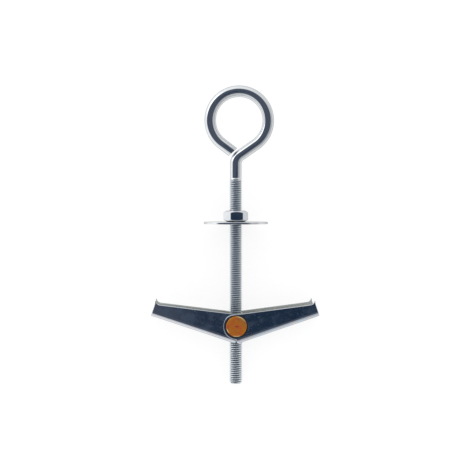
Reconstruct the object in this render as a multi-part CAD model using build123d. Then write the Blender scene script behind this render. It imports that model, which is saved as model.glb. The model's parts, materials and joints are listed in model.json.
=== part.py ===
from build123d import *
import os
from math import asin, atan, atan2, cos, degrees, hypot, radians, sin, sqrt, tan

os.makedirs("parts", exist_ok=True)

# Every piece is drawn with the bolt upright: Z runs along the bolt from its tip to its eye, X along
# the spread wings, and the front of the wings faces -Y. The whole is then laid down at rest.

# Bolt: one wire with a rolled M6 thread, its end bent to an eye
thread_diameter = 6.0
wire_diameter = 5.3
thread_length = 94.8
thread_runout = 1.2
tip_chamfer = 0.7
crook_height = 103.6
crook_radius = 4.5
run_length = 11.3
run_angle = 35.0
eye_radius = 13.35
tail_angle = 37.0
tail_gap = 0.5
shear_angle = 11.0

# Nut and washer
nut_flats = 10.0
nut_height = 5.2
nut_face_diameter = 8.2
nut_turn = 3.0
nut_corner_bevel = 30.0
countersink_depth = 0.5
washer_diameter = 29.5
washer_thickness = 1.0
washer_height = 73.5
washer_edge_bevel = 0.25

# Trunnion: the cross nut that both wings turn on
pivot_height = 27.0
trunnion_diameter = 9.5
trunnion_chamfer = 0.5
trunnion_proud = 0.5

# Wings: tapered channels pressed from sheet
sheet = 1.0
bend_radius = 2.5
wing_reach = 37.5
inner_wing_extra = 0.9
web_angle = 18.7
top_angle = 7.3
top_distance = 5.36
hole_rim = 1.25
root_relief = 1.0
root_blend = 3.5
tip_depth = 7.6
ear_radius = 1.9
web_parting = 0.5

# Spring: one wire with a coil on each side of the bolt
spring_wire = 0.8
coil_step = 0.83
leg_reach = 13.0
coil_arc_count = 6
wire_flat_count = 10
bridge_corner = 1.3

# Clearances
running_gap = 0.05
washer_gap = 0.3
nest_gap = 0.12
nest_relief = 0.2
notch_gap = 0.2
coil_gap = 0.1
coil_side_gap = 0.08
leg_gap = 0.05

# Radii and spans that follow from the sizes above
thread_radius = thread_diameter / 2
wire_radius = wire_diameter / 2
bore_radius = thread_radius + running_gap
trunnion_radius = trunnion_diameter / 2
spring_radius = spring_wire / 2
coil_radius = trunnion_radius + coil_gap + spring_radius
web_distance = trunnion_radius + hole_rim + root_relief + sheet
taper = web_angle - top_angle
inner_reach = wing_reach + inner_wing_extra

# Each spring leg leans out from the line of its web until its end bears on the web
leg_offset = web_distance - sheet - leg_gap - spring_radius
leg_lean = degrees(asin(leg_offset / hypot(leg_reach, coil_radius)) - atan2(coil_radius, leg_reach))
leg_angle = web_angle - leg_lean
coil_sweep = 360 + 2 * leg_angle
coil_height = coil_step * coil_sweep / 360

# The nested widths build up from the bolt outwards: spring coil, inner wing, outer wing
coil_start = thread_radius + coil_gap + spring_radius
inner_half_width = coil_start + coil_height + spring_radius + coil_side_gap + sheet
outer_half_width = inner_half_width + nest_gap + sheet
trunnion_length = 2 * (outer_half_width + trunnion_proud)

# The outer wing's hole rim is full; the inner one is trimmed to clear the bends of the outer wing
outer_root_radius = trunnion_radius + hole_rim
inside_bend = bend_radius - sheet
bend_reach = web_distance - bend_radius + sqrt(inside_bend**2 - (inside_bend - nest_gap) ** 2)
inner_root_radius = bend_reach - nest_relief


def point_at(radius, angle):
    """The point at a distance and an angle from the origin of a flat drawing."""
    return Vector(radius * cos(radians(angle)), radius * sin(radians(angle)))


def make_eye_bolt():
    """Plain wire bent into a crook, a straight run and an open ring, with the thread's full barrel."""
    wire = Circle(wire_radius)
    crook_turn = 90 - run_angle
    shank_line = Line((0, 0), (0, crook_height - crook_radius * tan(radians(crook_turn / 2))))
    crook_arc = JernArc(shank_line @ 1, shank_line % 1, crook_radius, -crook_turn)
    ring_start = Vector(0, crook_height) + point_at(run_length, run_angle)
    run_line = Line(crook_arc @ 1, ring_start)
    stem_path = Plane.XZ * Wire([shank_line, crook_arc, run_line])
    stem = sweep(Plane(stem_path @ 0, z_dir=stem_path % 0) * wire, path=stem_path)

    # The ring closes towards the crook; its tail stops short of the run by the tail gap
    ring_sweep = 360 - run_angle - tail_angle
    ring_arc = JernArc(ring_start, point_at(1, run_angle), eye_radius, ring_sweep)
    tail_start = ring_arc @ 1
    side = tail_start - Vector(0, crook_height)
    run_direction = point_at(1, run_angle)
    side_offset = abs(side.X * run_direction.Y - side.Y * run_direction.X)
    tail_length = (side_offset - wire_radius - tail_gap) / sin(radians(run_angle + tail_angle))
    tail_end = tail_start + point_at(tail_length, -tail_angle)
    shear_depth = wire_radius * tan(radians(shear_angle))
    tail_line = Line(tail_start, tail_end + point_at(shear_depth, -tail_angle))
    loop_path = Plane.XZ * Wire([ring_arc, tail_line])
    loop = sweep(Plane(loop_path @ 0, z_dir=loop_path % 0) * wire, path=loop_path)
    cutter = Box(
        wire_diameter, 2 * wire_diameter, 2 * wire_diameter, align=(Align.MIN, Align.CENTER, Align.CENTER)
    )
    loop -= Plane.XZ * Pos(tail_end.X, tail_end.Y) * Rot(Z=-tail_angle - shear_angle) * cutter

    # The rolled crests stand proud of the wire and run out on a cone
    barrel_length = thread_length - thread_runout
    barrel = Cylinder(thread_radius, barrel_length, align=(Align.CENTER, Align.CENTER, Align.MIN))
    barrel = chamfer(barrel.edges().group_by(Axis.Z)[0], tip_chamfer)
    runout = Cone(thread_radius, wire_radius, thread_runout, align=(Align.CENTER, Align.CENTER, Align.MIN))
    tip_cut = Cylinder(thread_radius, tip_chamfer, align=(Align.CENTER, Align.CENTER, Align.MIN))
    tip_keep = Cone(
        thread_radius - tip_chamfer, thread_radius, tip_chamfer, align=(Align.CENTER, Align.CENTER, Align.MIN)
    )
    return stem - (tip_cut - tip_keep) + loop + barrel + Pos(Z=barrel_length) * runout


def make_countersink(radius):
    """A cone that opens a bore of this radius towards +Z, with its mouth in the XY plane."""
    return Cone(
        radius, radius + countersink_depth, countersink_depth, align=(Align.CENTER, Align.CENTER, Align.MAX)
    )


def make_hex_nut():
    """Hexagon with both faces bevelled at its corners, one flat towards the front."""
    prism = extrude(Rot(Z=30) * RegularPolygon(nut_flats / 2, 6, major_radius=False), nut_height)
    corner_radius = nut_flats / 2 / cos(radians(30))
    face_radius = nut_face_diameter / 2
    drop = (corner_radius - face_radius) * tan(radians(nut_corner_bevel))
    bevel_outline = Polyline(
        (0, 0),
        (face_radius, 0),
        (corner_radius, drop),
        (corner_radius, nut_height - drop),
        (face_radius, nut_height),
        (0, nut_height),
        close=True,
    )
    nut = prism & revolve(Plane.XZ * make_face(bevel_outline), Axis.Z)
    nut -= Cylinder(bore_radius, nut_height, align=(Align.CENTER, Align.CENTER, Align.MIN))
    sink = make_countersink(bore_radius)
    nut -= Pos(Z=nut_height) * sink
    nut -= Rot(X=180) * sink
    return Pos(Z=washer_height + washer_thickness) * Rot(Z=nut_turn) * nut


def make_washer():
    """Flat disc, punched, so its upper outer edge is drawn down."""
    hole_radius = thread_radius + washer_gap
    disc = Cylinder(washer_diameter / 2, washer_thickness, align=(Align.CENTER, Align.CENTER, Align.MIN))
    disc = chamfer(disc.edges().group_by(Axis.Z)[-1], washer_edge_bevel)
    disc -= Cylinder(hole_radius, washer_thickness, align=(Align.CENTER, Align.CENTER, Align.MIN))
    return Pos(Z=washer_height) * disc


def make_trunnion():
    """Round bar across the bolt, chamfered at both ends and tapped through its middle."""
    bar = Cylinder(trunnion_radius, trunnion_length)
    bar = chamfer(bar.edges().filter_by(GeomType.CIRCLE), trunnion_chamfer)
    bar = Rot(X=90) * bar - Cylinder(bore_radius, trunnion_diameter)
    sink = Pos(Z=trunnion_radius) * make_countersink(bore_radius)
    bar -= sink
    bar -= Rot(X=180) * sink
    return Pos(Z=pivot_height) * bar


def make_wing(half_width, root_radius, reach):
    """The wing that points to +X, open. It is drawn with its web level, about the pivot."""
    floor = -web_distance
    root_edge = (web_parting / 2 - (web_distance - sheet) * sin(radians(web_angle))) / cos(radians(web_angle))
    ear_point = Vector(reach, floor + tip_depth)
    top_normal = point_at(1, 90 - taper)
    ear_height = ear_point.dot(top_normal) - top_distance
    ear_length = sqrt(2 * ear_radius * ear_height - ear_height**2)
    ear_foot = ear_point - top_normal * ear_height - point_at(ear_length, -taper)
    root_half_angle = degrees(atan2(sqrt(root_radius**2 - top_distance**2), top_distance))
    root_top = point_at(root_radius, 90 - taper + root_half_angle)
    root_low = Vector(root_edge, -sqrt(root_radius**2 - root_edge**2))

    outline = [
        Polyline((root_edge, floor), (reach, floor), ear_point),
        RadiusArc(ear_point, ear_foot, ear_radius),
        Line(ear_foot, root_top),
        ThreePointArc(root_top, Vector(-root_radius, 0), root_low),
        Line(root_low, (root_edge, floor)),
    ]
    block = extrude(make_face(outline), half_width, both=True)
    root_corner = block.edges().filter_by(Axis.Z).sort_by_distance((root_top.X, root_top.Y, 0))[0]
    block = fillet(root_corner, root_blend)
    block = fillet(block.edges().filter_by(Axis.X).group_by(Axis.Y)[0], bend_radius)

    # The hollow between the flanges, with the inside of the two bends
    hollow_depth = 2 * web_distance
    hollow = Box(4 * reach, hollow_depth, 2 * (half_width - sheet))
    hollow = fillet(hollow.edges().filter_by(Axis.X).group_by(Axis.Y)[0], inside_bend)
    block -= Pos(Y=floor + sheet + hollow_depth / 2) * hollow
    block -= Cylinder(trunnion_radius + running_gap, 4 * half_width)

    # Upright the web's root edge is notched to a half round that seats against the bolt
    wing = Rot(Y=-web_angle) * Rot(X=90) * block
    wing -= Cylinder(thread_radius + notch_gap, 4 * web_distance)
    return Pos(Z=pivot_height) * wing


def coil_point(angle):
    """The wire of the upper coil, wound by this angle, in a flat drawing with Z along the trunnion."""
    wound = point_at(coil_radius, 90 + leg_angle - angle)
    return Vector(wound.X, wound.Y, coil_start + coil_step * angle / 360)


def make_spring():
    """Double torsion spring: a bridge on the left web, a coil on each side, a leg on the right web."""
    # -Y of the drawing is up, towards the eye. The coil is a chain of arcs through points of its helix.
    arc_sweep = coil_sweep / coil_arc_count
    coil = []
    for i in range(coil_arc_count):
        coil.append(ThreePointArc(*[coil_point(arc_sweep * (i + share)) for share in (0, 0.5, 1)]))
    start = coil[0] @ 0
    bridge_end = start - (coil[0] % 0) * leg_reach
    bridge_middle = Vector(bridge_end.X, bridge_end.Y, 0)
    bridge = FilletPolyline(bridge_middle, bridge_end, start, radius=bridge_corner)
    leg = Line(coil[-1] @ 1, coil[-1] @ 1 + (coil[-1] % 1) * leg_reach)
    path = Wire([*bridge.edges(), *coil, leg])

    # Flats on the thin wire keep the facets of its coils few
    wire = RegularPolygon(spring_radius, wire_flat_count)
    half = sweep(Plane(path @ 0, z_dir=path % 0) * wire, path=path)
    whole = half + mirror(half, Plane.XY)
    return Pos(Z=pivot_height) * Rot(X=-90) * whole


upright = {
    "eye_bolt": make_eye_bolt(),
    "hex_nut": make_hex_nut(),
    "washer": make_washer(),
    "trunnion": make_trunnion(),
    "wing_right": make_wing(outer_half_width, outer_root_radius, wing_reach),
    "wing_left": mirror(make_wing(inner_half_width, inner_root_radius, inner_reach), Plane.YZ),
    "spring": make_spring(),
}

# At rest the bolt lies on its back, on the washer's rim, the rear end of the trunnion and the lower
# bend of the right wing's tip. Each pass refines the tilt that the first two give and the roll that
# the wing tip gives, from one level for all three.
tip_u = wing_reach
tip_v = bend_radius - web_distance
tip_x = tip_u * cos(radians(web_angle)) - tip_v * sin(radians(web_angle))
tip_z = pivot_height + tip_u * sin(radians(web_angle)) + tip_v * cos(radians(web_angle))
tip_y = outer_half_width - bend_radius
end_radius = trunnion_radius - trunnion_chamfer
slope = washer_diameter / 2 / washer_height
roll = 0.0
for _ in range(40):
    end_drop = trunnion_length / 2 * cos(roll) + end_radius * hypot(sin(roll), slope)
    slope = (washer_diameter / 2 - end_drop) / (washer_height - pivot_height)
    bend_drop = bend_radius / cos(atan(slope))
    tip_drop = washer_diameter / 2 - (washer_height - tip_z) * slope - bend_drop
    roll = asin(tip_drop / hypot(tip_x, tip_y)) - atan2(tip_y, tip_x)
tilt_degrees = degrees(atan(slope))
roll_degrees = degrees(roll)

lie_down = Rot(X=tilt_degrees - 90) * Rot(Z=roll_degrees)
laid = Compound(children=[lie_down * piece for piece in upright.values()])
box = laid.bounding_box()
centre = box.center()
place = Pos(-centre.X, -centre.Y, -box.min.Z) * lie_down

for name, piece in upright.items():
    export_step(place * piece, f"parts/{name}.step")
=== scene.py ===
import json
from math import ceil, cos, pi, radians, sin, tan

import bmesh
import bpy
from mathutils import Matrix, Vector


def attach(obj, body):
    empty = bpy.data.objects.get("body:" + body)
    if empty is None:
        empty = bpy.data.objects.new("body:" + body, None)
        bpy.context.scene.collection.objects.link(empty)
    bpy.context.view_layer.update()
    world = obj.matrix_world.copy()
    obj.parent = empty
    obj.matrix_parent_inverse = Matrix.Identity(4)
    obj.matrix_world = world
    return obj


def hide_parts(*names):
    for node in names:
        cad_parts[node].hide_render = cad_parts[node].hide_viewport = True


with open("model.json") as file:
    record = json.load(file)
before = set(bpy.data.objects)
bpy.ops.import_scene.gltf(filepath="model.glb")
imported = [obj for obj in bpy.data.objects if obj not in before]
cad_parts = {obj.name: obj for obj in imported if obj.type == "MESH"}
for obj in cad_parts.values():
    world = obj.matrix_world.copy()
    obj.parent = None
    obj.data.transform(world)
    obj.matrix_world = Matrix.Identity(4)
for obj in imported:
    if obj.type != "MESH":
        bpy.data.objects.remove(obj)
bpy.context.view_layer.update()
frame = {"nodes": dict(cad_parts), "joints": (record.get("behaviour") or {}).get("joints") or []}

# Eye bolt
# One steel wire, bent to a crook and a nearly closed ring at its head and sheared off there. Its shank
# is rolled with an M6 thread that everything else sits on. It is plated bright zinc.
mm = 0.001
joints = {joint["name"]: joint for joint in frame["joints"]}
bolt_axis = Vector(joints["toggle_travel"]["axis"])
front = Vector(joints["wing_right_fold"]["axis"])
pivot = Vector(joints["wing_right_fold"]["pos_m"])
pivot_height = 27.0 * mm

# Each piece is drawn upright, with the bolt's tip at the origin, its axis along +Z, the front facing -Y
# and the right wing along +X. This places the drawing where the solids lie.
upright_axes = Matrix((bolt_axis.cross(front), -front, bolt_axis)).transposed()
bolt_tip = pivot - bolt_axis * pivot_height
lay_down = Matrix.Translation(bolt_tip) @ upright_axes.to_4x4()

thread_pitch = 1.0 * mm
crest_radius = 2.97 * mm
root_radius = 2.38 * mm
crest_flat = 1 / 9
root_flat = 2 / 9
thread_length = 94.8 * mm
thread_runout = 1.6 * mm
tip_radius = 2.3 * mm
tip_chamfer = 0.7 * mm
wire_radius = 2.63 * mm
crook_height = 103.6 * mm
crook_radius = 4.5 * mm
run_length = 11.3 * mm
run_angle = 35.0
eye_radius = 13.35 * mm
tail_angle = 37.0
tail_gap = 0.5 * mm
shear_angle = 11.0
shear_round = 0.15 * mm

# How finely the bolt is drawn, and how close two points are taken for one.
sides = 64
rows_per_turn = 9
arc_step = 2.5
thread_merge = 0.001 * mm
weld_gap = 0.002 * mm
tail_slack = 0.01 * mm

# A plating is its clear colour, its cloudy colour, its roughness and its tint at grazing angles. A finish
# or painted shade or highlight over it is a colour and a roughness. Lengths in a material are in
# millimetres.
bright_zinc = ((0.80, 0.82, 0.84), (0.72, 0.75, 0.78), 0.08, (0.5, 0.52, 0.55))
plate_relief = 0.01 * mm
wire_clouds = 5.0
rolled_finish = ((0.94, 0.98, 1.0), 0.14)
rolled_edge = (95.2, 92.8)
rolled_metal_loss = 0.14
# Painted shade in the thread's roots: its colour and roughness, and the radii where it comes in.
root_painted_shade = ((0.18, 0.23, 0.30), 0.4)
root_shade_levels = {"Shade Start Radius": 2.52, "Full Shade Radius": 2.4, "Top": 94.0}
wire_scratch_finish = ((0.88, 0.89, 0.90), 0.3)
wire_scratch_strength = 0.6


def new_tree(name, kind, inputs, outputs):
    """An empty node tree with named sockets, its input sockets' outlets and its output sockets."""
    tree = bpy.data.node_groups.new(name, kind)
    for in_out, sockets in (("INPUT", inputs), ("OUTPUT", outputs)):
        for label, socket_type in sockets.items():
            tree.interface.new_socket(name=label, in_out=in_out, socket_type=socket_type)
    return tree, tree.nodes.new("NodeGroupInput").outputs, tree.nodes.new("NodeGroupOutput").inputs


def add_node(tree, kind, inputs=None, **settings):
    """A node with its properties set. An input that is a socket is linked, and any other is a value."""
    node = tree.nodes.new(kind)
    for name, value in settings.items():
        setattr(node, name, value)
    for name, value in (inputs or {}).items():
        if isinstance(value, bpy.types.NodeSocket):
            tree.links.new(value, node.inputs[name])
        else:
            node.inputs[name].default_value = value
    return node


def work_out(tree, operation, *values):
    """The result of one step of arithmetic on sockets or numbers."""
    return add_node(tree, "ShaderNodeMath", dict(enumerate(values)), operation=operation).outputs[0]


def parts_of(tree, place):
    """The X, Y and Z of a place."""
    return add_node(tree, "ShaderNodeSeparateXYZ", {"Vector": place}).outputs


def point_of(tree, **parts):
    """The place with the X, Y and Z given, each 0 where it isn't."""
    return add_node(tree, "ShaderNodeCombineXYZ", parts).outputs["Vector"]


def finish_tree(tree, geometry, material, result):
    """Ends a tree in plain geometry with its material."""
    plain = add_node(tree, "GeometryNodeRealizeInstances", {"Geometry": geometry})
    plated = add_node(
        tree, "GeometryNodeSetMaterial", {"Geometry": plain.outputs[0], "Material": material}
    )
    tree.links.new(plated.outputs[0], result["Geometry"])


def build_thread_tree():
    """A rolled thread about +Z. Its rows follow the helix, and at both ends it fades to a plain circle."""
    turns_below = 2.0
    turns_spare = 3.0
    tree, given, result = new_tree(
        "rolled_thread",
        "GeometryNodeTree",
        {
            "Geometry": "NodeSocketGeometry",
            "Pitch": "NodeSocketFloat",
            "Length": "NodeSocketFloat",
            "Crest Radius": "NodeSocketFloat",
            "Root Radius": "NodeSocketFloat",
            "Start Radius": "NodeSocketFloat",
            "Start Fade": "NodeSocketFloat",
            "End Radius": "NodeSocketFloat",
            "End Fade": "NodeSocketFloat",
            "Start Height": "NodeSocketFloat",
            "Crest Flat": "NodeSocketFloat",
            "Root Flat": "NodeSocketFloat",
            "Sides": "NodeSocketInt",
            "Rows per Turn": "NodeSocketInt",
            "Material": "NodeSocketMaterial",
        },
        {"Geometry": "NodeSocketGeometry"},
    )
    # A grid one unit wide stands for one turn. It starts two whole pitches low, so its rows meet the
    # corners of the thread's form.
    turns = work_out(tree, "ADD", work_out(tree, "DIVIDE", given["Length"], given["Pitch"]), turns_spare)
    turns = work_out(tree, "CEIL", turns)
    grid_height = work_out(tree, "MULTIPLY", turns, given["Pitch"])
    columns = work_out(tree, "ADD", given["Sides"], 1)
    rows = work_out(tree, "MULTIPLY_ADD", turns, given["Rows per Turn"], 1)
    grid = add_node(
        tree,
        "GeometryNodeMeshGrid",
        {"Size X": 1.0, "Size Y": grid_height, "Vertices X": columns, "Vertices Y": rows},
    )
    grid_place = parts_of(tree, add_node(tree, "GeometryNodeInputPosition").outputs["Position"])
    turn = work_out(tree, "ADD", grid_place["X"], 0.5)
    angle = work_out(tree, "MULTIPLY", turn, 2 * pi)
    from_lowest = work_out(tree, "MULTIPLY_ADD", grid_height, 0.5, grid_place["Y"])
    from_start = work_out(tree, "MULTIPLY_ADD", given["Pitch"], -turns_below, from_lowest)
    height = work_out(tree, "MULTIPLY_ADD", turn, given["Pitch"], from_start)
    height = work_out(tree, "MINIMUM", work_out(tree, "MAXIMUM", height, 0.0), given["Length"])

    # Straight flanks stand between a flat root and a flat crest, each a share of the pitch.
    absolute = work_out(tree, "ADD", from_start, given["Start Height"])
    phase = work_out(tree, "DIVIDE", absolute, given["Pitch"])
    flank = {
        "Value": work_out(tree, "PINGPONG", phase, 0.5),
        "From Min": work_out(tree, "MULTIPLY", given["Root Flat"], 0.5),
        "From Max": work_out(tree, "MULTIPLY_ADD", given["Crest Flat"], -0.5, 0.5),
    }
    share = add_node(tree, "ShaderNodeMapRange", flank).outputs["Result"]
    depth = work_out(tree, "SUBTRACT", given["Crest Radius"], given["Root Radius"])
    radius = work_out(tree, "MULTIPLY_ADD", share, depth, given["Root Radius"])
    to_end = work_out(tree, "SUBTRACT", given["Length"], height)
    for distance, end in ((height, "Start"), (to_end, "End")):
        strength = work_out(tree, "DIVIDE", distance, given[end + " Fade"])
        strength = work_out(tree, "MINIMUM", strength, 1.0)
        excess = work_out(tree, "SUBTRACT", radius, given[end + " Radius"])
        radius = work_out(tree, "MULTIPLY_ADD", excess, strength, given[end + " Radius"])
    side = work_out(tree, "MULTIPLY", radius, work_out(tree, "COSINE", angle))
    back = work_out(tree, "MULTIPLY", radius, work_out(tree, "SINE", angle))
    rolled_place = point_of(tree, X=side, Y=back, Z=height)
    shaped = add_node(
        tree, "GeometryNodeSetPosition", {"Geometry": grid.outputs["Mesh"], "Position": rolled_place}
    )
    closed = add_node(
        tree, "GeometryNodeMergeByDistance", {"Geometry": shaped.outputs[0], "Distance": thread_merge}
    )
    finish_tree(tree, closed.outputs[0], given["Material"], result)
    return tree


def build_wire_tree():
    """A round wire along a curve, open at both ends."""
    tree, given, result = new_tree(
        "bent_wire",
        "GeometryNodeTree",
        {
            "Geometry": "NodeSocketGeometry",
            "Wire Radius": "NodeSocketFloat",
            "Sides": "NodeSocketInt",
            "Material": "NodeSocketMaterial",
        },
        {"Geometry": "NodeSocketGeometry"},
    )
    section = add_node(
        tree,
        "GeometryNodeCurvePrimitiveCircle",
        {"Resolution": given["Sides"], "Radius": given["Wire Radius"]},
    )
    tube = add_node(
        tree,
        "GeometryNodeCurveToMesh",
        {"Curve": given["Geometry"], "Profile Curve": section.outputs["Curve"]},
    )
    finish_tree(tree, tube.outputs[0], given["Material"], result)
    return tree


thread_tree = build_thread_tree()
wire_tree = build_wire_tree()


def add_object(name, data):
    """A new object in the scene."""
    made = bpy.data.objects.new(name, data)
    bpy.context.scene.collection.objects.link(made)
    return made


def take_mesh(carrier):
    """The plain mesh that an object's modifier makes. The object itself is removed."""
    mesh = bpy.data.meshes.new_from_object(carrier.evaluated_get(bpy.context.evaluated_depsgraph_get()))
    bpy.data.objects.remove(carrier)
    return mesh


def run_tree(source, tree, values):
    """The plain mesh that a tree of geometry nodes makes from a mesh or a curve."""
    carrier = add_object(tree.name, source)
    modifier = carrier.modifiers.new(tree.name, "NODES")
    modifier.node_group = tree
    for item in tree.interface.items_tree:
        if item.name in values:
            modifier[item.identifier] = values[item.name]
    carrier.update_tag()
    return take_mesh(carrier)


def make_thread(length, start, end, material, play=0.0, start_height=0.0):
    """The bolt's thread, wider by some play. Each end is the radius it fades to, and over what length."""
    return run_tree(
        bpy.data.meshes.new("thread"),
        thread_tree,
        {
            "Pitch": thread_pitch,
            "Length": length,
            "Crest Radius": crest_radius + play,
            "Root Radius": root_radius + play,
            "Start Radius": start[0],
            "Start Fade": start[1],
            "End Radius": end[0],
            "End Fade": end[1],
            "Start Height": start_height,
            "Crest Flat": crest_flat,
            "Root Flat": root_flat,
            "Sides": sides,
            "Rows per Turn": rows_per_turn,
            "Material": material,
        },
    )


def make_wire(points, radius, count, material):
    """A round wire through these points, with so many sides."""
    curve = bpy.data.curves.new("path", "CURVE")
    curve.dimensions = "3D"
    spline = curve.splines.new("POLY")
    spline.points.add(len(points) - 1)
    for spline_point, point in zip(spline.points, points):
        spline_point.co = (*point, 1.0)
    return run_tree(curve, wire_tree, {"Wire Radius": radius, "Sides": count, "Material": material})


def heading(angle):
    """The direction in the XZ plane at this angle above +X, in degrees."""
    return Vector((cos(radians(angle)), 0, sin(radians(angle))))


def bend(points, direction_angle, radius, turn):
    """Adds an arc to a path in the XZ plane: it leaves at an angle and turns left by so many degrees."""
    start = points[-1]
    side = 90 if turn > 0 else -90
    centre = start + heading(direction_angle + side) * radius
    steps = ceil(abs(turn) / arc_step)
    for step in range(1, steps + 1):
        points.append(centre + heading(direction_angle - side + turn * step / steps) * radius)


def close_ends(shape):
    """Closes each open end of a tube with a face."""
    bmesh.ops.holes_fill(shape, edges=[edge for edge in shape.edges if edge.is_boundary], sides=0)


def mesh_of(shape, name):
    """The mesh of a shape that is done with."""
    mesh = bpy.data.meshes.new(name)
    shape.to_mesh(mesh)
    shape.free()
    return mesh


def finish_mesh(mesh, smooth_angle=35.0):
    """Turns every face outwards, and shades smooth below the given angle."""
    shape = bmesh.new()
    shape.from_mesh(mesh)
    bmesh.ops.recalc_face_normals(shape, faces=shape.faces)
    shape.to_mesh(mesh)
    shape.free()
    mesh.polygons.foreach_set("use_smooth", [True] * len(mesh.polygons))
    mesh.set_sharp_from_angle(angle=radians(smooth_angle))


def add_piece(name, mesh, body, slot, *nodes):
    """Lays a mesh that was drawn upright where the solids lie, and lets it stand for them."""
    mesh.transform(lay_down)
    piece = add_object(name, mesh)
    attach(piece, body)
    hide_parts(*nodes)


def length_of(tree, place):
    """How far a place is from the origin."""
    return add_node(tree, "ShaderNodeVectorMath", {0: place}, operation="LENGTH").outputs["Value"]


def stretch(tree, place, factors):
    """A place with each of its coordinates multiplied."""
    inputs = {0: place, 1: factors}
    return add_node(tree, "ShaderNodeVectorMath", inputs, operation="MULTIPLY").outputs["Vector"]


def blend(tree, share, first, second):
    """The colour between two, by a share from 0 to 1."""
    # A Mix node's colours are its inputs 6 and 7 and its output 2.
    return add_node(tree, "ShaderNodeMix", {0: share, 6: first, 7: second}, data_type="RGBA").outputs[2]


def rescale(tree, value, low, high, to_low=0.0, to_high=1.0):
    """A value's place between two levels, softened at both ends and held between two results."""
    limits = {"Value": value, "From Min": low, "From Max": high, "To Min": to_low, "To Max": to_high}
    return add_node(tree, "ShaderNodeMapRange", limits, interpolation_type="SMOOTHSTEP").outputs["Result"]


def cloud(tree, place, scale, detail=2.0):
    """Soft noise at a place, with so many clouds to the unit."""
    inputs = {"Vector": place, "Scale": scale, "Detail": detail}
    return add_node(tree, "ShaderNodeTexNoise", inputs).outputs["Fac"]


def build_bloom_group():
    """The cloudy tone and the haze of electroplated zinc, from a place in millimetres."""
    fine_per_broad = 7.0
    fine_share = 0.45
    tone_levels = (0.36, 0.64)
    haze_levels = (0.4, 0.72)
    group, given, result = new_tree(
        "plate_bloom",
        "ShaderNodeTree",
        {"Place": "NodeSocketVector", "Size": "NodeSocketFloat"},
        {"Tone": "NodeSocketFloat", "Haze": "NodeSocketFloat", "Relief": "NodeSocketFloat"},
    )
    per_cloud = work_out(group, "DIVIDE", 1.0, given["Size"])
    broad = cloud(group, given["Place"], per_cloud, detail=3.0)
    fine = cloud(group, given["Place"], work_out(group, "MULTIPLY", per_cloud, fine_per_broad), detail=4.0)
    broad_part = work_out(group, "MULTIPLY", broad, 1.0 - fine_share)
    both = work_out(group, "MULTIPLY_ADD", fine, fine_share, broad_part)
    group.links.new(rescale(group, both, *tone_levels), result["Tone"])
    group.links.new(rescale(group, fine, *haze_levels), result["Haze"])
    group.links.new(both, result["Relief"])
    return group


def build_scratch_group():
    """Thin bright scratches in two directions, gathered in patches, from a place in millimetres."""
    # Each direction has an angle in degrees and the squeeze along it that draws its marks out.
    directions = ((24.0, 0.10), (-61.0, 0.16))
    apart = 13.0
    ridges_per_mm = 2.2
    half_width = 0.012
    patches_per_mm = 0.35
    patch_levels = (0.62, 0.7)
    group, given, result = new_tree(
        "handling_scratches",
        "ShaderNodeTree",
        {"Place": "NodeSocketVector", "Cover": "NodeSocketFloat"},
        {"Scratch": "NodeSocketFloat"},
    )
    marks = []
    for number, (turn, squeeze) in enumerate(directions):
        turned_place = add_node(
            group,
            "ShaderNodeMapping",
            {
                "Vector": given["Place"],
                "Location": (apart * number, 0, 0),
                "Rotation": (0, radians(turn), 0),
            },
        ).outputs["Vector"]
        drawn_out = stretch(group, turned_place, (squeeze, 1.0, 1.0))
        ridge = cloud(group, drawn_out, ridges_per_mm, detail=1.0)
        off_ridge = work_out(group, "ABSOLUTE", work_out(group, "SUBTRACT", ridge, 0.5))
        patch = cloud(group, turned_place, patches_per_mm, detail=1.0)
        here = rescale(group, work_out(group, "ADD", patch, given["Cover"]), *patch_levels)
        mark = rescale(group, off_ridge, 0.0, half_width, 1.0, 0.0)
        marks.append(work_out(group, "MULTIPLY", mark, here))
    group.links.new(work_out(group, "MAXIMUM", *marks), result["Scratch"])
    return group


def build_thread_shade_group():
    """Painted shade deep in a thread about the bolt's axis, from 0 where it starts to 1 where it is full.
    """
    group, given, result = new_tree(
        "thread_shade",
        "ShaderNodeTree",
        {
            "Place": "NodeSocketVector",
            "Shade Start Radius": "NodeSocketFloat",
            "Full Shade Radius": "NodeSocketFloat",
            "Top": "NodeSocketFloat",
        },
        {"Depth": "NodeSocketFloat"},
    )
    parts = parts_of(group, given["Place"])
    radius = length_of(group, point_of(group, X=parts["X"], Y=parts["Y"]))
    depth = rescale(group, radius, given["Full Shade Radius"], given["Shade Start Radius"], 1.0, 0.0)
    below = work_out(group, "LESS_THAN", parts["Z"], given["Top"])
    group.links.new(work_out(group, "MULTIPLY", depth, below), result["Depth"])
    return group


plate_bloom = build_bloom_group()
handling_scratches = build_scratch_group()
thread_shade = build_thread_shade_group()


def use_group(tree, group, inputs):
    """The outputs of a shared group, fed with sockets or values."""
    return add_node(tree, "ShaderNodeGroup", inputs, node_tree=group).outputs


def drawn_place(tree, origin, axes):
    """The place on the piece in millimetres from a point, along the axes given."""
    inputs = {
        "Vector": add_node(tree, "ShaderNodeTexCoord").outputs["Object"],
        "Location": origin,
        "Rotation": axes.to_euler(),
        "Scale": (mm, mm, mm),
    }
    return add_node(tree, "ShaderNodeMapping", inputs, vector_type="TEXTURE").outputs["Vector"]


def shader_inputs(tree):
    """The inputs of a material's one shader."""
    return tree.nodes["Principled BSDF"].inputs


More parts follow.
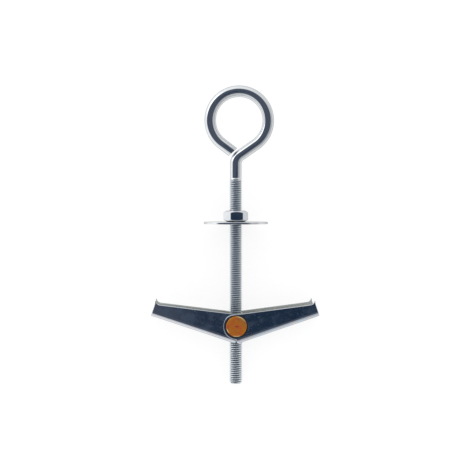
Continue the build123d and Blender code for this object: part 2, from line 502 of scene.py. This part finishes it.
def plated_metal(name, bright, cloudy, roughness, edge_tint, bloom_size, relief):
    """Plated steel with a cloudy tone and haze. Its tree, and the place on it in millimetres, come too."""
    haze_roughness = 0.5 * roughness
    material = bpy.data.materials.new(name)
    material.use_nodes = True
    tree = material.node_tree
    place = drawn_place(tree, bolt_tip, upright_axes)
    bloom = use_group(tree, plate_bloom, {"Place": place, "Size": bloom_size})
    tone = blend(tree, bloom["Tone"], (*bright, 1.0), (*cloudy, 1.0))
    hazed = work_out(tree, "MULTIPLY_ADD", bloom["Haze"], haze_roughness, roughness)
    bump = add_node(tree, "ShaderNodeBump", {"Height": bloom["Relief"], "Distance": relief})
    shader = shader_inputs(tree)
    shader["Metallic"].default_value = 1.0
    shader["Specular Tint"].default_value = (*edge_tint, 1.0)
    tree.links.new(tone, shader["Base Color"])
    tree.links.new(hazed, shader["Roughness"])
    tree.links.new(bump.outputs["Normal"], shader["Normal"])
    return material, tree, place


def lay_over(tree, share, colour, roughness):
    """Covers a material with another finish, or painted shade or highlight, where the share is above 0."""
    shader = shader_inputs(tree)
    under = shader["Base Color"].links[0].from_socket
    tree.links.new(blend(tree, share, under, (*colour, 1.0)), shader["Base Color"])
    under = shader["Roughness"].links[0].from_socket
    change = work_out(tree, "MULTIPLY", work_out(tree, "SUBTRACT", roughness, under), share)
    tree.links.new(work_out(tree, "ADD", under, change), shader["Roughness"])


def weaken_metal(tree, share, loss):
    """Makes a material less metallic where the share is above 0."""
    metallic = work_out(tree, "MULTIPLY_ADD", share, -loss, 1.0)
    tree.links.new(metallic, shader_inputs(tree)["Metallic"])


def add_scratches(tree, place, cover, strength, finish):
    """Lays handling scratches over a material. More of it is scratched with more cover."""
    marks = use_group(tree, handling_scratches, {"Place": place, "Cover": cover})["Scratch"]
    lay_over(tree, work_out(tree, "MULTIPLY", marks, strength), *finish)


zinc_wire, wire_nodes, wire_place = plated_metal("zinc_wire", *bright_zinc, wire_clouds, plate_relief)
# The thread's roots get painted shade, a dark colour deep in the thread below its top.
root_shade_share = use_group(wire_nodes, thread_shade, {"Place": wire_place, **root_shade_levels})["Depth"]
rolled = rescale(wire_nodes, parts_of(wire_nodes, wire_place)["Z"], *rolled_edge)
lay_over(wire_nodes, rolled, *rolled_finish)
lay_over(wire_nodes, root_shade_share, *root_painted_shade)
weaken_metal(wire_nodes, rolled, rolled_metal_loss)
add_scratches(wire_nodes, wire_place, 0.0, wire_scratch_strength, wire_scratch_finish)

thread_mesh = make_thread(
    thread_length, (tip_radius, tip_chamfer), (wire_radius, thread_runout), zinc_wire
)

crook_turn = 90 - run_angle
crook = Vector((0, 0, crook_height))
crook_start = crook - heading(90) * crook_radius * tan(radians(crook_turn / 2))
head_path = [Vector((0, 0, thread_length)), crook_start]
bend(head_path, 90, crook_radius, -crook_turn)
head_path.append(crook + heading(run_angle) * run_length)
bend(head_path, run_angle, eye_radius, 360 - run_angle - tail_angle)
tail_offset = (head_path[-1] - crook).cross(heading(run_angle)).length
tail_length = (tail_offset - wire_radius - tail_gap) / sin(radians(run_angle + tail_angle))
tail_end = head_path[-1] + heading(-tail_angle) * tail_length
head_path.append(tail_end)
head_mesh = make_wire(head_path, wire_radius, sides, zinc_wire)

# The shear leaves the end of the tail a little askew and rounds its edge.
bolt_shape = bmesh.new()
bolt_shape.from_mesh(thread_mesh)
bolt_shape.from_mesh(head_mesh)
tail_direction = heading(-tail_angle)
tail_side = heading(90 - tail_angle)
tail_ring = set()
for vertex in bolt_shape.verts:
    from_end = vertex.co - tail_end
    if abs(from_end.dot(tail_direction)) < tail_slack and from_end.length < 2 * wire_radius:
        vertex.co += tail_direction * from_end.dot(tail_side) * tan(radians(shear_angle))
        tail_ring.add(vertex)
bmesh.ops.remove_doubles(bolt_shape, verts=bolt_shape.verts, dist=weld_gap)
close_ends(bolt_shape)
tail_edges = [edge for edge in bolt_shape.edges if tail_ring.issuperset(edge.verts)]
bmesh.ops.bevel(bolt_shape, geom=tail_edges, offset=shear_round, segments=3, profile=0.5, affect="EDGES")
bolt_mesh = mesh_of(bolt_shape, "eye_bolt")
bolt_mesh.materials.append(zinc_wire)
finish_mesh(bolt_mesh)
add_piece("wire_eye_bolt", bolt_mesh, "eye_bolt", "zinc_wire", "eye_bolt")

# Nut
# Hexagon nut, cold formed, bevelled at both faces and tapped M6. It is run up the thread above the
# washer and can be turned on to the end of the thread. It is plated bright zinc like the bolt.
nut_flats = 10.0 * mm
nut_height = 5.2 * mm
nut_turn = 3.0
nut_bevel = 30.0
nut_face_radius = 4.1 * mm
nut_edge_round = 0.22 * mm
nut_edge_angle = 25.0
nut_sides = 96
washer_height = 73.5 * mm
washer_thickness = 1.0 * mm
countersink_depth = 0.5 * mm
thread_play = 0.05 * mm
cutter_overlap = 0.5 * mm
cutter_fade = 0.01 * mm
nut_clouds = 3.0
# Painted shade in the tapped bore: its colour and roughness, and the radii where it comes in.
bore_painted_shade = ((0.30, 0.32, 0.34), 0.45)
bore_shade_levels = {"Shade Start Radius": 3.3, "Full Shade Radius": 3.0, "Top": 100.0}


def circle_points(radius, height, count):
    """Points of a level circle about the Z axis."""
    angles = [2 * pi * i / count for i in range(count)]
    return [Vector((radius * cos(angle), radius * sin(angle), height)) for angle in angles]


def skin_rings(shape, rings):
    """Joins each ring of vertices to the next with a band of faces."""
    count = len(rings[0])
    for low, high in zip(rings, rings[1:]):
        for i in range(count):
            shape.faces.new((low[i], low[(i + 1) % count], high[(i + 1) % count], high[i]))


def ring_solid(rings):
    """A closed mesh from rings of points, the first ring below and the last above, each end flat."""
    shape = bmesh.new()
    rows = [[shape.verts.new(point) for point in ring] for ring in rings]
    skin_rings(shape, rows)
    shape.faces.new(list(reversed(rows[0])))
    shape.faces.new(rows[-1])
    return mesh_of(shape, "solid")


def apply_modifier(mesh, kind, **settings):
    """The plain mesh that a modifier makes of another."""
    carrier = add_object("carrier", mesh)
    modifier = carrier.modifiers.new(kind, kind)
    for name, value in settings.items():
        setattr(modifier, name, value)
    return take_mesh(carrier)


def cut(mesh, tool_mesh):
    """What is left of a closed mesh when another is cut out of it."""
    tool = add_object("tool", tool_mesh)
    made = apply_modifier(mesh, "BOOLEAN", object=tool, operation="DIFFERENCE", solver="MANIFOLD")
    bpy.data.objects.remove(tool)
    return made


def round_edges(mesh, width, angle=40.0, segments=3):
    """The mesh with the edges rounded that turn by more than an angle."""
    return apply_modifier(
        mesh,
        "BEVEL",
        width=width,
        segments=segments,
        limit_method="ANGLE",
        angle_limit=radians(angle),
        use_clamp_overlap=False,
    )


def weigh_normals(mesh):
    """The mesh with the normals of its large faces kept where they meet rounded edges."""
    return apply_modifier(mesh, "WEIGHTED_NORMAL", mode="FACE_AREA", weight=50, keep_sharp=True)


def tap_tool(low, high, turned_by, material):
    """A closed screw with the bolt's thread and a little play, to cut a tapped bore from low to high."""
    end = (crest_radius + thread_play, cutter_fade)
    start_height = low - thread_pitch * turned_by / 360
    screw = make_thread(high - low, end, end, material, thread_play, start_height)
    shape = bmesh.new()
    shape.from_mesh(screw)
    close_ends(shape)
    bmesh.ops.recalc_face_normals(shape, faces=shape.faces)
    bmesh.ops.translate(shape, verts=shape.verts, vec=(0, 0, low))
    shape.to_mesh(screw)
    shape.free()
    return screw


def countersink_tool(height, upward):
    """A cone to open a tapped bore at this height. It starts inside the bore and ends past the face."""
    inner_end = (crest_radius - countersink_depth, height - upward * countersink_depth)
    outer_end = (crest_radius + countersink_depth, height + upward * countersink_depth / 2)
    ends = sorted((inner_end, outer_end), key=lambda end: end[1])
    return ring_solid([circle_points(*end, sides) for end in ends])


def hexagon_reach(angle):
    """How far the nut reaches from its middle at an angle in degrees. One of its corners is at 0."""
    return nut_flats / 2 / cos(radians(angle % 60 - 30))


nut_low = washer_height + washer_thickness
nut_high = nut_low + nut_height
bevel_slope = tan(radians(nut_bevel))
nut_rings = [[], []]
for i in range(nut_sides):
    turn = 360 * i / nut_sides
    reach = hexagon_reach(turn)
    drop = (reach - nut_face_radius) * bevel_slope
    for ring, level in zip(nut_rings, (nut_low + drop, nut_high - drop)):
        ring.append(Vector((reach * cos(radians(turn)), reach * sin(radians(turn)), level)))
face_rings = [circle_points(nut_face_radius, level, nut_sides) for level in (nut_low, nut_high)]
nut_mesh = ring_solid([face_rings[0], *nut_rings, face_rings[1]])
nut_mesh = round_edges(nut_mesh, nut_edge_round, nut_edge_angle)
zinc_nut, nut_nodes, nut_place = plated_metal("zinc_nut", *bright_zinc, nut_clouds, plate_relief)
# Painted shade darkens the tapped bore.
bore_shade_share = use_group(nut_nodes, thread_shade, {"Place": nut_place, **bore_shade_levels})["Depth"]
lay_over(nut_nodes, bore_shade_share, *bore_painted_shade)
nut_mesh.materials.append(zinc_nut)
nut_tap = tap_tool(nut_low - cutter_overlap, nut_high + cutter_overlap, nut_turn, zinc_nut)
nut_mesh = cut(nut_mesh, nut_tap)
nut_mesh = cut(nut_mesh, countersink_tool(nut_high, 1))
nut_mesh = cut(nut_mesh, countersink_tool(nut_low, -1))
nut_mesh.transform(Matrix.Rotation(radians(nut_turn), 4, "Z"))
finish_mesh(nut_mesh)
add_piece("tapped_nut", weigh_normals(nut_mesh), "nut", "zinc_nut", "hex_nut")

# Washer
# Large flat washer, punched from strip, so the edges it leaves the die with are drawn round. It takes
# the pull of the bolt on the ceiling's face. It is plated bright zinc.
washer_radius = 14.75 * mm
washer_hole = 3.3 * mm
drawn_edge = 0.3 * mm
burred_edge = 0.1 * mm
washer_sides = 160
strip_zinc = ((0.82, 0.84, 0.86), (0.76, 0.78, 0.81), 0.12, (0.6, 0.6, 0.6))
washer_clouds = 4.0
washer_line_width = 0.5
washer_line_strength = 0.35
washer_line_finish = ((0.66, 0.68, 0.71), 0.3)


def turned(profile, count):
    """A closed ring that is turned about the Z axis from a closed outline of radii and heights."""
    shape = bmesh.new()
    rows = [[shape.verts.new(point) for point in circle_points(*corner, count)] for corner in profile]
    skin_rings(shape, rows + rows[:1])
    return mesh_of(shape, "turned")


def corner_arc(centre_radius, centre_level, radius, start, end, steps=5):
    """Points of a rounded corner in an outline of radii and heights, between two angles in degrees."""
    angles = [radians(start + (end - start) * i / steps) for i in range(steps + 1)]
    return [(centre_radius + radius * cos(angle), centre_level + radius * sin(angle)) for angle in angles]


def build_lines_group():
    """Fine lines along X, as drawing or rolling leaves them, from a place in millimetres."""
    squeeze = (0.04, 1.0, 1.0)
    line_levels = (0.38, 0.62)
    group, given, result = new_tree(
        "drawn_lines",
        "ShaderNodeTree",
        {"Place": "NodeSocketVector", "Width": "NodeSocketFloat"},
        {"Lines": "NodeSocketFloat"},
    )
    drawn_out = stretch(group, given["Place"], squeeze)
    lines = cloud(group, drawn_out, work_out(group, "DIVIDE", 1.0, given["Width"]), detail=3.0)
    group.links.new(rescale(group, lines, *line_levels), result["Lines"])
    return group


drawn_lines = build_lines_group()


def add_lines(tree, place, width, strength, finish):
    """Lays drawn lines over a material."""
    lines = use_group(tree, drawn_lines, {"Place": place, "Width": width})["Lines"]
    lay_over(tree, work_out(tree, "MULTIPLY", lines, strength), *finish)


washer_top = washer_height + washer_thickness
washer_outline = [
    *corner_arc(washer_radius - burred_edge, washer_height + burred_edge, burred_edge, -90, 0),
    *corner_arc(washer_radius - drawn_edge, washer_top - drawn_edge, drawn_edge, 0, 90),
    *corner_arc(washer_hole + drawn_edge, washer_top - drawn_edge, drawn_edge, 90, 180),
    *corner_arc(washer_hole + burred_edge, washer_height + burred_edge, burred_edge, 180, 270),
]
washer_mesh = turned(washer_outline, washer_sides)
zinc_washer, washer_nodes, washer_place = plated_metal(
    "zinc_washer", *strip_zinc, washer_clouds, plate_relief
)
add_lines(washer_nodes, washer_place, washer_line_width, washer_line_strength, washer_line_finish)
washer_mesh.materials.append(zinc_washer)
finish_mesh(washer_mesh)
add_piece("punched_washer", washer_mesh, "washer", "zinc_washer", "washer")

# Trunnion
# Cross nut: a round steel bar, parted off and chamfered in the lathe, drilled and tapped M6 across its
# middle. Both wings turn on it. It is plated zinc with a yellow passivation.
trunnion_radius = 4.75 * mm
trunnion_length = 15.0 * mm
trunnion_chamfer = 0.5 * mm
trunnion_edge_round = 0.12 * mm
trunnion_sides = 96
yellow_plate = ((0.56, 0.105, 0.035), (0.47, 0.205, 0.012), 0.42, (0.7, 0.5, 0.3))
yellow_metallic = 0.4
turned_relief = 0.02 * mm
trunnion_clouds = 1.7
olive_finish = ((0.30, 0.19, 0.05), 0.45)
olive_reach = (2.5, 6.0)
olive_per_mm = 0.9
streak_finish = ((0.25, 0.07, 0.03), 0.5)
streak_squeeze = (0.25, 1.0, 1.0)
streaks_per_mm = 2.4
streak_levels = (0.56, 0.7)
streak_strength = 0.75
parting_finish = ((0.20, 0.05, 0.035), 0.5)
parting_squeeze = (0.8, 2.6, 1.0)
parting_reach = (0.4, 1.1)
parting_strength = 0.7
# The rim's painted highlight: its colour and roughness, its radii and its pale patches.
rim_painted_highlight = ((0.66, 0.50, 0.26), 0.3)
rim_radii = (4.2, 4.4)
rim_patches_per_mm = 0.22
rim_patch_levels = (0.47, 0.58)

chamfer_radius = trunnion_radius - trunnion_chamfer
chamfer_level = trunnion_length / 2 - trunnion_chamfer
trunnion_profile = [
    (chamfer_radius, -trunnion_length / 2),
    (trunnion_radius, -chamfer_level),
    (trunnion_radius, chamfer_level),
    (chamfer_radius, trunnion_length / 2),
]
trunnion_mesh = ring_solid([circle_points(*corner, trunnion_sides) for corner in trunnion_profile])
trunnion_mesh = round_edges(trunnion_mesh, trunnion_edge_round, angle=30.0, segments=2)
trunnion_mesh.transform(Matrix.Translation((0, 0, pivot_height)) @ Matrix.Rotation(pi / 2, 4, "X"))

# The passivation runs to olive at one side and is streaked. The end has a dark mark in its middle, where
# it was parted off, and its rim carries a painted highlight in pale patches.
yellow_zinc, cross_nodes = plated_metal("yellow_zinc", *yellow_plate, trunnion_clouds, turned_relief)[:2]
shader_inputs(cross_nodes)["Metallic"].default_value = yellow_metallic
cross_place = drawn_place(cross_nodes, pivot, upright_axes)
cross_parts = parts_of(cross_nodes, cross_place)
end_place = point_of(cross_nodes, X=cross_parts["X"], Y=cross_parts["Z"])
olive_side = work_out(cross_nodes, "ADD", cross_parts["X"], cross_parts["Z"])
olive_share = rescale(cross_nodes, olive_side, *olive_reach)
olive_cloud = cloud(cross_nodes, cross_place, olive_per_mm)
lay_over(cross_nodes, work_out(cross_nodes, "MULTIPLY", olive_share, olive_cloud), *olive_finish)
streaks = cloud(cross_nodes, stretch(cross_nodes, cross_place, streak_squeeze), streaks_per_mm, detail=3.0)
streak_share = rescale(cross_nodes, streaks, *streak_levels, 0.0, streak_strength)
lay_over(cross_nodes, streak_share, *streak_finish)
from_mark = length_of(cross_nodes, stretch(cross_nodes, end_place, parting_squeeze))
parting_share = rescale(cross_nodes, from_mark, *parting_reach, parting_strength, 0.0)
lay_over(cross_nodes, parting_share, *parting_finish)
# Pale patches on the rim are a painted highlight.
rim_cloud = cloud(cross_nodes, cross_place, rim_patches_per_mm, detail=1.0)
rim_highlight_patch = rescale(cross_nodes, rim_cloud, *rim_patch_levels)
rim_highlight_share = rescale(cross_nodes, length_of(cross_nodes, end_place), *rim_radii)
lay_over(cross_nodes, work_out(cross_nodes, "MULTIPLY", rim_highlight_share, rim_highlight_patch), *rim_painted_highlight)
trunnion_mesh.materials.append(yellow_zinc)

bore_low = pivot_height - trunnion_radius - cutter_overlap
bore_high = pivot_height + trunnion_radius + cutter_overlap
trunnion_mesh = cut(trunnion_mesh, tap_tool(bore_low, bore_high, 0, yellow_zinc))
finish_mesh(trunnion_mesh)
add_piece("cross_nut", weigh_normals(trunnion_mesh), "toggle", "yellow_zinc", "trunnion")

# Wings
# Two tapered channels pressed from 1 mm sheet, the left one nested inside the right at the pivot. The
# press leaves their cut edges round. They are plated zinc with a blue passivation.
sheet_edge_round = 0.34 * mm
flat_angle = 0.5
web_angle = 18.7

# In millimetres: half the room between each wing's flanges, how far the web's inner face lies from the
# pivot, and how far apart on the sheet the two wings are taken from.
left_half_room = 5.1
right_half_room = 6.22
web_inner_face = -7.08
sheet_offset = 57.0
blue_zinc = ((0.75, 0.76, 0.80), (0.68, 0.69, 0.74), 0.07, (0.55, 0.55, 0.55))
pressed_relief = 0.015 * mm
sheet_clouds = 6.0
sheet_line_width = 0.6
sheet_line_strength = 0.4
sheet_line_finish = ((0.60, 0.63, 0.66), 0.16)
sheet_scratch_cover = 0.05
sheet_scratch_strength = 0.75
sheet_scratch_finish = ((0.85, 0.86, 0.88), 0.42)
hazy_finish = ((0.60, 0.72, 0.86), 0.22)
hazy_per_mm = 0.2
hazy_levels = (0.5, 0.66)
hazy_strength = 0.6
# Painted shadow round the trunnion: its colour and roughness, its radii and its strength.
pivot_painted_shadow = ((0.07, 0.06, 0.07), 0.4)
pivot_shadow_radii = (5.05, 5.4)
pivot_shadow_strength = 0.95
inside_finish = ((0.62, 0.655, 0.62), 0.46)
inside_per_mm = 0.5
inside_levels = (0.35, 0.65)
inside_strengths = (0.62, 0.95)
inside_metal_loss = 0.5

zinc_sheet, sheet_nodes, sheet_place = plated_metal("zinc_sheet", *blue_zinc, sheet_clouds, pressed_relief)
sheet_parts = parts_of(sheet_nodes, sheet_place)
is_right = work_out(sheet_nodes, "GREATER_THAN", sheet_parts["X"], 0.0)
above_pivot = work_out(sheet_nodes, "SUBTRACT", sheet_parts["Z"], pivot_height / mm)

# Lines and scratches follow the web. The left wing mirrors the right one, from another stretch of sheet.
from_bolt = work_out(sheet_nodes, "ABSOLUTE", sheet_parts["X"])
wing_place = point_of(sheet_nodes, X=from_bolt, Y=sheet_parts["Y"], Z=above_pivot)
web_turn = {"Vector": wing_place, "Rotation": (0, radians(web_angle), 0)}
web_place = add_node(sheet_nodes, "ShaderNodeMapping", web_turn).outputs["Vector"]
web_depth = parts_of(sheet_nodes, web_place)["Z"]
taken_from = point_of(sheet_nodes, X=work_out(sheet_nodes, "MULTIPLY", is_right, sheet_offset))
on_sheet = {0: web_place, 1: taken_from}
web_place = add_node(sheet_nodes, "ShaderNodeVectorMath", on_sheet, operation="ADD").outputs["Vector"]
add_lines(sheet_nodes, web_place, sheet_line_width, sheet_line_strength, sheet_line_finish)
add_scratches(
    sheet_nodes, web_place, sheet_scratch_cover, sheet_scratch_strength, sheet_scratch_finish
)
hazy_cloud = cloud(sheet_nodes, web_place, hazy_per_mm, detail=5.0)
lay_over(sheet_nodes, rescale(sheet_nodes, hazy_cloud, *hazy_levels, 0.0, hazy_strength), *hazy_finish)

# Painted shadow lies round the trunnion at the wings' holes, and the plating is dull inside the channels.
from_pivot = length_of(sheet_nodes, point_of(sheet_nodes, X=sheet_parts["X"], Z=above_pivot))
lay_over(sheet_nodes, rescale(sheet_nodes, from_pivot, *pivot_shadow_radii, pivot_shadow_strength, 0.0), *pivot_painted_shadow)
more_room = right_half_room - left_half_room
half_room = work_out(sheet_nodes, "MULTIPLY_ADD", is_right, more_room, left_half_room)
off_middle = work_out(sheet_nodes, "ABSOLUTE", sheet_parts["Y"])
between_flanges = work_out(sheet_nodes, "LESS_THAN", off_middle, half_room)
above_web = work_out(sheet_nodes, "GREATER_THAN", web_depth, web_inner_face)
inside = work_out(sheet_nodes, "MULTIPLY", between_flanges, above_web)
inside_cloud = cloud(sheet_nodes, web_place, inside_per_mm, detail=4.0)
inside_cover = rescale(sheet_nodes, inside_cloud, *inside_levels, *inside_strengths)
lay_over(sheet_nodes, work_out(sheet_nodes, "MULTIPLY", inside, inside_cover), *inside_finish)
weaken_metal(sheet_nodes, inside, inside_metal_loss)

for side in ("right", "left"):
    wing_mesh = frame["nodes"]["wing_" + side].data.copy()
    wing_mesh.transform(lay_down.inverted())
    shape = bmesh.new()
    shape.from_mesh(wing_mesh)
    bmesh.ops.remove_doubles(shape, verts=shape.verts, dist=weld_gap)
    bmesh.ops.dissolve_limit(shape, angle_limit=radians(flat_angle), verts=shape.verts, edges=shape.edges)
    shape.to_mesh(wing_mesh)
    shape.free()
    wing_mesh.materials.clear()
    wing_mesh.materials.append(zinc_sheet)
    wing_mesh = round_edges(wing_mesh, sheet_edge_round)
    finish_mesh(wing_mesh, smooth_angle=30.0)
    wing_mesh = weigh_normals(wing_mesh)
    add_piece("pressed_wing_" + side, wing_mesh, "wing_" + side, "zinc_sheet", "wing_" + side)

# Spring
# Double torsion spring of one bright wire: a coil round the trunnion on each side of the bolt, joined by
# a bridge that bears on the left wing's web, with a leg from each coil to the right wing's web.
spring_radius = 0.4 * mm
coil_radius = 5.25 * mm
coil_step = 0.83 * mm
coil_start = 3.5 * mm
leg_reach = 13.0 * mm
leg_angle = 12.84
coil_sweep = 360 + 2 * leg_angle
bridge_corner = 1.3 * mm
spring_sides = 16
coil_turn_step = 6.0
wound_steps = 15
corner_steps = 6
spring_steel = ((0.58, 0.58, 0.57), (0.47, 0.47, 0.46), 0.22, (0.5, 0.5, 0.5))
spring_clouds = 1.5

# The legs and the bridge carry the wire that winds on to the coils as the wings fold, through this angle.
# They are a touch thinner than the coils, which hide that wire.
wind_up = 75.0
slim = 0.985


def coil_point(angle):
    """A point of the front coil's wire, at an angle in degrees round the trunnion from its start."""
    turned_to = radians(90 + leg_angle - angle)
    return Vector(
        (
            coil_radius * cos(turned_to),
            -coil_start - coil_step * angle / 360,
            pivot_height - coil_radius * sin(turned_to),
        )
    )


def wound_arc(end, sweep):
    """The wire that winds on to a coil as a wing folds: level with the coil's end, and drawn up to it."""
    arc = [coil_point(end + sweep * (wound_steps - i) / wound_steps) for i in range(wound_steps + 1)]
    for point in arc:
        point.y = arc[-1].y
    return arc


spring_metal = plated_metal("spring_wire", *spring_steel, spring_clouds, plate_relief)[0]


def spring_wire(points, radius):
    """A piece of the spring's wire through these points, with closed ends."""
    wire = make_wire(points, radius, spring_sides, spring_metal)
    shape = bmesh.new()
    shape.from_mesh(wire)
    close_ends(shape)
    shape.to_mesh(wire)
    shape.free()
    return wire


def both_sides(mesh):
    """The mesh together with its mirror image behind the bolt."""
    behind = mesh.copy()
    behind.transform(Matrix.Scale(-1, 4, (0, 1, 0)))
    behind.flip_normals()
    shape = bmesh.new()
    shape.from_mesh(mesh)
    shape.from_mesh(behind)
    shape.to_mesh(mesh)
    shape.free()
    return mesh


coil_points = [coil_point(coil_turn_step * i) for i in range(int(coil_sweep / coil_turn_step) + 1)]
coil_mesh = both_sides(spring_wire(coil_points + [coil_point(coil_sweep)], spring_radius))
finish_mesh(coil_mesh)
add_piece("spring_coils", coil_mesh, "toggle", "spring_wire", "spring")

leg_foot = coil_point(coil_sweep)
leg_heading = (leg_foot - coil_point(coil_sweep - 1)).normalized()
leg_points = wound_arc(coil_sweep, -wind_up) + [leg_foot + leg_heading * leg_reach]
leg_mesh = both_sides(spring_wire(leg_points, spring_radius * slim))
finish_mesh(leg_mesh)
add_piece("spring_legs", leg_mesh, "wing_right", "spring_wire", "spring")

bridge_foot = coil_point(0)
bridge_heading = (bridge_foot - coil_point(1)).normalized()
corner = bridge_foot + bridge_heading * leg_reach
bridge_points = wound_arc(0, wind_up)
for i in range(corner_steps + 1):
    angle = radians(90 * i / corner_steps)
    short_of_corner = bridge_heading * bridge_corner * (sin(angle) - 1)
    towards_back = Vector((0, 1, 0)) * bridge_corner * (1 - cos(angle))
    bridge_points.append(corner + short_of_corner + towards_back)
bridge_points += [Vector((point.x, -point.y, point.z)) for point in reversed(bridge_points)]
bridge_mesh = spring_wire(bridge_points, spring_radius * slim)
finish_mesh(bridge_mesh)
add_piece("spring_bridge", bridge_mesh, "wing_left", "spring_wire", "spring")

# Studio
# A white floor under the object, soft white light all round it and the camera above it. The plating
# mirrors the floor, white paper with a window in it, and a grey card before the object.
camera_place = Vector((-20.0, -443.1, 81.6)) * mm
camera_aim = Vector((-0.38, 0, 68.42)) * mm
sensor_width = 36.0
focal_length = 73.82
floor_reach = 3.0
floor_tone = 0.25
seen_floor_lift = 0.79
mirrored_floor_lift = (0.84, 0.62)
mirrored_floor_fade = 60.0 * mm
paper_tone = 0.84
paper_change_right = -0.3
paper_change_up = 0.2
window_side = (-0.75, -0.35, 0.55)
window_edge = (12.0, 34.0)
window_lift = 0.6
dark_card = (0.011, 0.028, 0.058, 1)
pale_card = (0.076, 0.094, 0.130, 1)
card_middle = (-12.0, 0.0)
card_reach = (61.0, 49.0)
card_softness = 0.12
camera_side = (0.104, -0.991, -0.087)
camera_edge = (5.0, 8.5)

floor_mesh = bpy.data.meshes.new("floor")
corner_signs = ((-1, -1), (1, -1), (1, 1), (-1, 1))
corners = [(x * floor_reach, y * floor_reach, 0) for x, y in corner_signs]
floor_mesh.from_pydata(corners, [], [(0, 1, 2, 3)])
floor = add_object("floor", floor_mesh)
floor_paint = bpy.data.materials.new("floor")
floor_paint.use_nodes = True
floor_nodes = floor_paint.node_tree
floor_shader = shader_inputs(floor_nodes)
floor_shader["Base Color"].default_value = (floor_tone, floor_tone, floor_tone, 1)
floor_shader["Roughness"].default_value = 1.0
floor_shader["Specular IOR Level"].default_value = 0.0
floor_shader["Emission Color"].default_value = (1, 1, 1, 1)
floor_rays = add_node(floor_nodes, "ShaderNodeLightPath").outputs
floor_place = parts_of(floor_nodes, add_node(floor_nodes, "ShaderNodeTexCoord").outputs["Object"])
# To the plating the floor glows, brighter towards -X than +X: painted light seen only in reflections.
fade = (-mirrored_floor_fade, mirrored_floor_fade)
floor_lift = rescale(floor_nodes, floor_place["X"], *fade, *mirrored_floor_lift)
mirrored_floor = work_out(floor_nodes, "MULTIPLY", floor_rays["Is Glossy Ray"], floor_lift)
seen = work_out(floor_nodes, "MULTIPLY_ADD", floor_rays["Is Camera Ray"], seen_floor_lift, mirrored_floor)
floor_nodes.links.new(seen, floor_shader["Emission Strength"])
floor_mesh.materials.append(floor_paint)

world = bpy.data.worlds.new("studio")
world.use_nodes = True
bpy.context.scene.world = world
world_nodes = world.node_tree
light_direction = add_node(world_nodes, "ShaderNodeTexCoord").outputs["Generated"]


def share_along(axis):
    """How far the direction of the light goes along an axis of the drawing."""
    inputs = {0: light_direction, 1: upright_axes @ Vector(axis).normalized()}
    return add_node(world_nodes, "ShaderNodeVectorMath", inputs, operation="DOT_PRODUCT").outputs["Value"]


def in_degrees(function, *shares):
    """The angle that has this sine or cosine, or whose tangent is between two shares, in degrees."""
    held = []
    for share in shares:
        share = work_out(world_nodes, "MINIMUM", share, 1.0)
        held.append(work_out(world_nodes, "MAXIMUM", share, -1.0))
    return work_out(world_nodes, "DEGREES", work_out(world_nodes, function, *held))


# The paper is brighter at the upper left, where the window is. The card has the darker camera in it.
to_right = share_along((1, 0, 0))
upward = share_along((0, 0, 1))
paper = work_out(world_nodes, "MULTIPLY_ADD", to_right, paper_change_right, paper_tone)
paper = work_out(world_nodes, "MULTIPLY_ADD", upward, paper_change_up, paper)
from_window = in_degrees("ARCCOSINE", share_along(window_side))
window = rescale(world_nodes, from_window, *window_edge, window_lift, 0.0)
paper = work_out(world_nodes, "ADD", paper, window)
from_camera = in_degrees("ARCCOSINE", share_along(camera_side))
card = blend(world_nodes, rescale(world_nodes, from_camera, *camera_edge), dark_card, pale_card)
level_angle = in_degrees("ARCTAN2", to_right, share_along((0, -1, 0)))
rise_angle = in_degrees("ARCSINE", upward)
card_parts = []
for angle, middle, reach in zip((level_angle, rise_angle), card_middle, card_reach):
    off_centre = work_out(world_nodes, "SUBTRACT", angle, middle)
    card_parts.append(work_out(world_nodes, "DIVIDE", off_centre, reach))
off_card = length_of(world_nodes, point_of(world_nodes, X=card_parts[0], Y=card_parts[1]))
off_card = rescale(world_nodes, off_card, 1.0 - card_softness, 1.0 + card_softness)
mirrored = blend(world_nodes, off_card, card, paper)
world_rays = add_node(world_nodes, "ShaderNodeLightPath").outputs
lit = blend(world_nodes, world_rays["Is Glossy Ray"], (1, 1, 1, 1), mirrored)
world_nodes.links.new(lit, world_nodes.nodes["Background"].inputs["Color"])

camera_data = bpy.data.cameras.new("camera")
camera_data.sensor_width = sensor_width
camera_data.lens = focal_length
camera = add_object("camera", camera_data)
eye = lay_down @ camera_place
aim = lay_down @ camera_aim
backward = (eye - aim).normalized()
right = bolt_axis.cross(backward).normalized()
up = backward.cross(right)
camera.matrix_world = Matrix.Translation(eye) @ Matrix((right, up, backward)).transposed().to_4x4()
bpy.context.scene.camera = camera
bpy.context.scene.view_settings.view_transform = "Standard"
